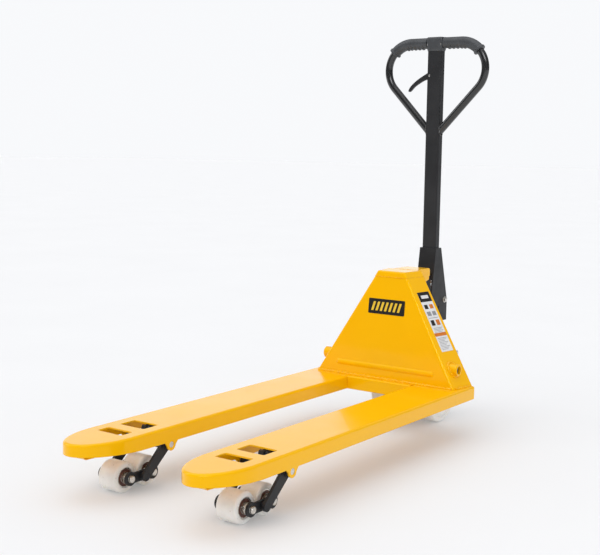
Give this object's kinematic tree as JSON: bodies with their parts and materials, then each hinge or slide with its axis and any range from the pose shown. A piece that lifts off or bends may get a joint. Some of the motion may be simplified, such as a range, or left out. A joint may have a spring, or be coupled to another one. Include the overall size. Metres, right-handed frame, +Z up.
{
  "type": "hand pallet truck",
  "caption": "Hand-pumped pallet jack: two forks on tandem rollers, wedge-shaped tower, hydraulic pump on steering wheels, and an upright handle with a heart-shaped loop.",
  "frame": {"origin": "middle of the footprint on the floor", "axes": "+Z up, -Y towards the fork tips, +Y towards the pump and handle, +X to the right of a person who faces along +Y"},
  "size_m": [0.55, 1.513, 1.25],
  "materials": {
    "yellow_paint": "gloss",
    "black_paint": "satin",
    "bright_steel": "satin",
    "white_nylon": "satin",
    "bearing_seal": "satin",
    "grip_plastic": "matte",
    "sign_black": "satin",
    "sticker_white": "satin"
  },
  "bodies": {
    "thrust_plate": {"thrust_ring": "black_paint"},
    "frame": {"fork_left": "yellow_paint", "fork_right": "yellow_paint", "heel_frame": "yellow_paint", "tower_shell": "yellow_paint", "tower_cap": "yellow_paint", "ram_head_bracket": "yellow_paint", "rocker_bosses": "yellow_paint", "nose_skids": "yellow_paint", "fork_ribs": "yellow_paint", "roller_arm_pins": "bright_steel", "lift_ram": "bright_steel", "capacity_plate": "sign_black", "side_label": "sticker_white"},
    "rocker": {"rocker_shaft": "bright_steel", "rocker_yoke": "black_paint", "rocker_pins": "bright_steel", "drive_levers": "black_paint"},
    "pump": {"pump_housing": "black_paint", "lift_cylinder": "black_paint", "gland_nut": "bright_steel", "plunger_barrel": "black_paint", "steer_axle": "bright_steel", "axle_end_rings": "bright_steel", "filler_plug": "bright_steel", "handle_pivot_pin": "bright_steel", "release_valve": "bright_steel", "return_spring": "bright_steel"},
    "plunger": {"pump_plunger": "bright_steel"},
    "handle": {"handle_post": "black_paint", "handle_bracket": "black_paint", "handle_loop": "black_paint", "grip_left": "grip_plastic", "grip_right": "grip_plastic", "grip_block": "grip_plastic", "handle_bolts": "bright_steel"},
    "cam_roller": {"cam_roller": "bright_steel"},
    "control_lever": {"control_lever": "black_paint"},
    "control_rod": {"control_rod": "bright_steel"},
    "release_lever": {"release_lever": "black_paint"},
    "push_rod_left": {"push_rod_left": "black_paint"},
    "roller_arm_left": {"roller_arm_left": "black_paint"},
    "bogie_left": {"bogie_left": "black_paint", "roller_axles_left": "bright_steel"},
    "steer_wheel_left": {"steer_wheel_left": "white_nylon", "steer_bearings_left": "bearing_seal"},
    "fork_roller_left_front": {"fork_roller_left_front": "white_nylon", "roller_bearings_left_front": "bearing_seal"},
    "fork_roller_left_rear": {"fork_roller_left_rear": "white_nylon", "roller_bearings_left_rear": "bearing_seal"},
    "push_rod_right": {"push_rod_right": "black_paint"},
    "roller_arm_right": {"roller_arm_right": "black_paint"},
    "bogie_right": {"bogie_right": "black_paint", "roller_axles_right": "bright_steel"},
    "steer_wheel_right": {"steer_wheel_right": "white_nylon", "steer_bearings_right": "bearing_seal"},
    "fork_roller_right_front": {"fork_roller_right_front": "white_nylon", "roller_bearings_right_front": "bearing_seal"},
    "fork_roller_right_rear": {"fork_roller_right_rear": "white_nylon", "roller_bearings_right_rear": "bearing_seal"}
  },
  "joints": [
    {"name": "lift", "type": "slide", "parent": "thrust_plate", "child": "frame", "axis": [0, 0, 1], "range_m": [-0.072, 0.025]},
    {"name": "steer", "type": "hinge", "parent": "thrust_plate", "child": "pump", "pos_m": [0, 0.5915, 0.2], "axis": [0, 0, 1], "range_deg": [-90, 90]},
    {"name": "handle_tilt", "type": "hinge", "parent": "pump", "child": "handle", "pos_m": [0, 0.6965, 0.355], "axis": [-1, 0, 0], "range_deg": [0, 72], "stiffness_Nm_per_rad": 24, "springref_deg": -20.05},
    {"name": "plunger_stroke", "type": "slide", "parent": "pump", "child": "plunger", "axis": [0, 0, 1], "range_m": [-0.0576, 0.0005], "deforming": ["return_spring"]},
    {"name": "cam_roller_spin", "type": "hinge", "parent": "handle", "child": "cam_roller", "pos_m": [0, 0.73582, 0.38253], "axis": [1, 0, 0], "continuous": true},
    {"name": "control_lever", "type": "hinge", "parent": "handle", "child": "control_lever", "pos_m": [-0.017, 0.6845, 1.126], "axis": [0, 1, 0], "range_deg": [-12, 20], "stiffness_Nm_per_rad": 1.5, "springref_deg": 1.03},
    {"name": "control_rod_slide", "type": "slide", "parent": "handle", "child": "control_rod", "axis": [0, 0, 1], "range_m": [-0.0075, 0.0046]},
    {"name": "release_lever", "type": "hinge", "parent": "pump", "child": "release_lever", "pos_m": [0.067, 0.7395, 0.204], "axis": [1, 0, 0], "range_deg": [-5, 8.2]},
    {"name": "rocker_pivot", "type": "hinge", "parent": "frame", "child": "rocker", "pos_m": [0, 0.4375, 0.212], "axis": [1, 0, 0], "range_deg": [-15.2, 43.4]},
    {"name": "steer_wheel_spin_left", "type": "hinge", "parent": "pump", "child": "steer_wheel_left", "pos_m": [-0.085, 0.5915, 0.09], "axis": [1, 0, 0], "continuous": true},
    {"name": "push_rod_slide_left", "type": "slide", "parent": "frame", "child": "push_rod_left", "axis": [0, 1, 0], "range_m": [-0.0087, 0.0248]},
    {"name": "roller_arm_pivot_left", "type": "hinge", "parent": "frame", "child": "roller_arm_left", "pos_m": [-0.195, -0.4705, 0.11], "axis": [1, 0, 0], "range_deg": [-43.4, 15.2]},
    {"name": "bogie_pivot_left", "type": "hinge", "parent": "roller_arm_left", "child": "bogie_left", "pos_m": [-0.195, -0.54876, 0.04], "axis": [1, 0, 0], "range_deg": [-15.2, 43.4]},
    {"name": "fork_roller_spin_left_front", "type": "hinge", "parent": "bogie_left", "child": "fork_roller_left_front", "pos_m": [-0.195, -0.58976, 0.04], "axis": [1, 0, 0], "continuous": true},
    {"name": "fork_roller_spin_left_rear", "type": "hinge", "parent": "bogie_left", "child": "fork_roller_left_rear", "pos_m": [-0.195, -0.50776, 0.04], "axis": [1, 0, 0], "continuous": true},
    {"name": "steer_wheel_spin_right", "type": "hinge", "parent": "pump", "child": "steer_wheel_right", "pos_m": [0.085, 0.5915, 0.09], "axis": [1, 0, 0], "continuous": true},
    {"name": "push_rod_slide_right", "type": "slide", "parent": "frame", "child": "push_rod_right", "axis": [0, 1, 0], "range_m": [-0.0087, 0.0248]},
    {"name": "roller_arm_pivot_right", "type": "hinge", "parent": "frame", "child": "roller_arm_right", "pos_m": [0.195, -0.4705, 0.11], "axis": [1, 0, 0], "range_deg": [-43.4, 15.2]},
    {"name": "bogie_pivot_right", "type": "hinge", "parent": "roller_arm_right", "child": "bogie_right", "pos_m": [0.195, -0.54876, 0.04], "axis": [1, 0, 0], "range_deg": [-15.2, 43.4]},
    {"name": "fork_roller_spin_right_front", "type": "hinge", "parent": "bogie_right", "child": "fork_roller_right_front", "pos_m": [0.195, -0.58976, 0.04], "axis": [1, 0, 0], "continuous": true},
    {"name": "fork_roller_spin_right_rear", "type": "hinge", "parent": "bogie_right", "child": "fork_roller_right_rear", "pos_m": [0.195, -0.50776, 0.04], "axis": [1, 0, 0], "continuous": true}
  ],
  "couplings": [
    {"joint": "plunger_stroke", "follows": "handle_tilt", "m_per_rad": -0.0455},
    {"joint": "control_rod_slide", "follows": "control_lever", "m_per_rad": -0.021},
    {"joint": "release_lever", "follows": "control_lever", "ratio": 0.4},
    {"joint": "rocker_pivot", "follows": "lift", "rad_per_m": -10.47},
    {"joint": "push_rod_slide_left", "follows": "lift", "ratio": -0.342},
    {"joint": "roller_arm_pivot_left", "follows": "lift", "rad_per_m": 10.47},
    {"joint": "bogie_pivot_left", "follows": "lift", "rad_per_m": -10.47},
    {"joint": "push_rod_slide_right", "follows": "lift", "ratio": -0.342},
    {"joint": "roller_arm_pivot_right", "follows": "lift", "rad_per_m": 10.47},
    {"joint": "bogie_pivot_right", "follows": "lift", "rad_per_m": -10.47}
  ]
}
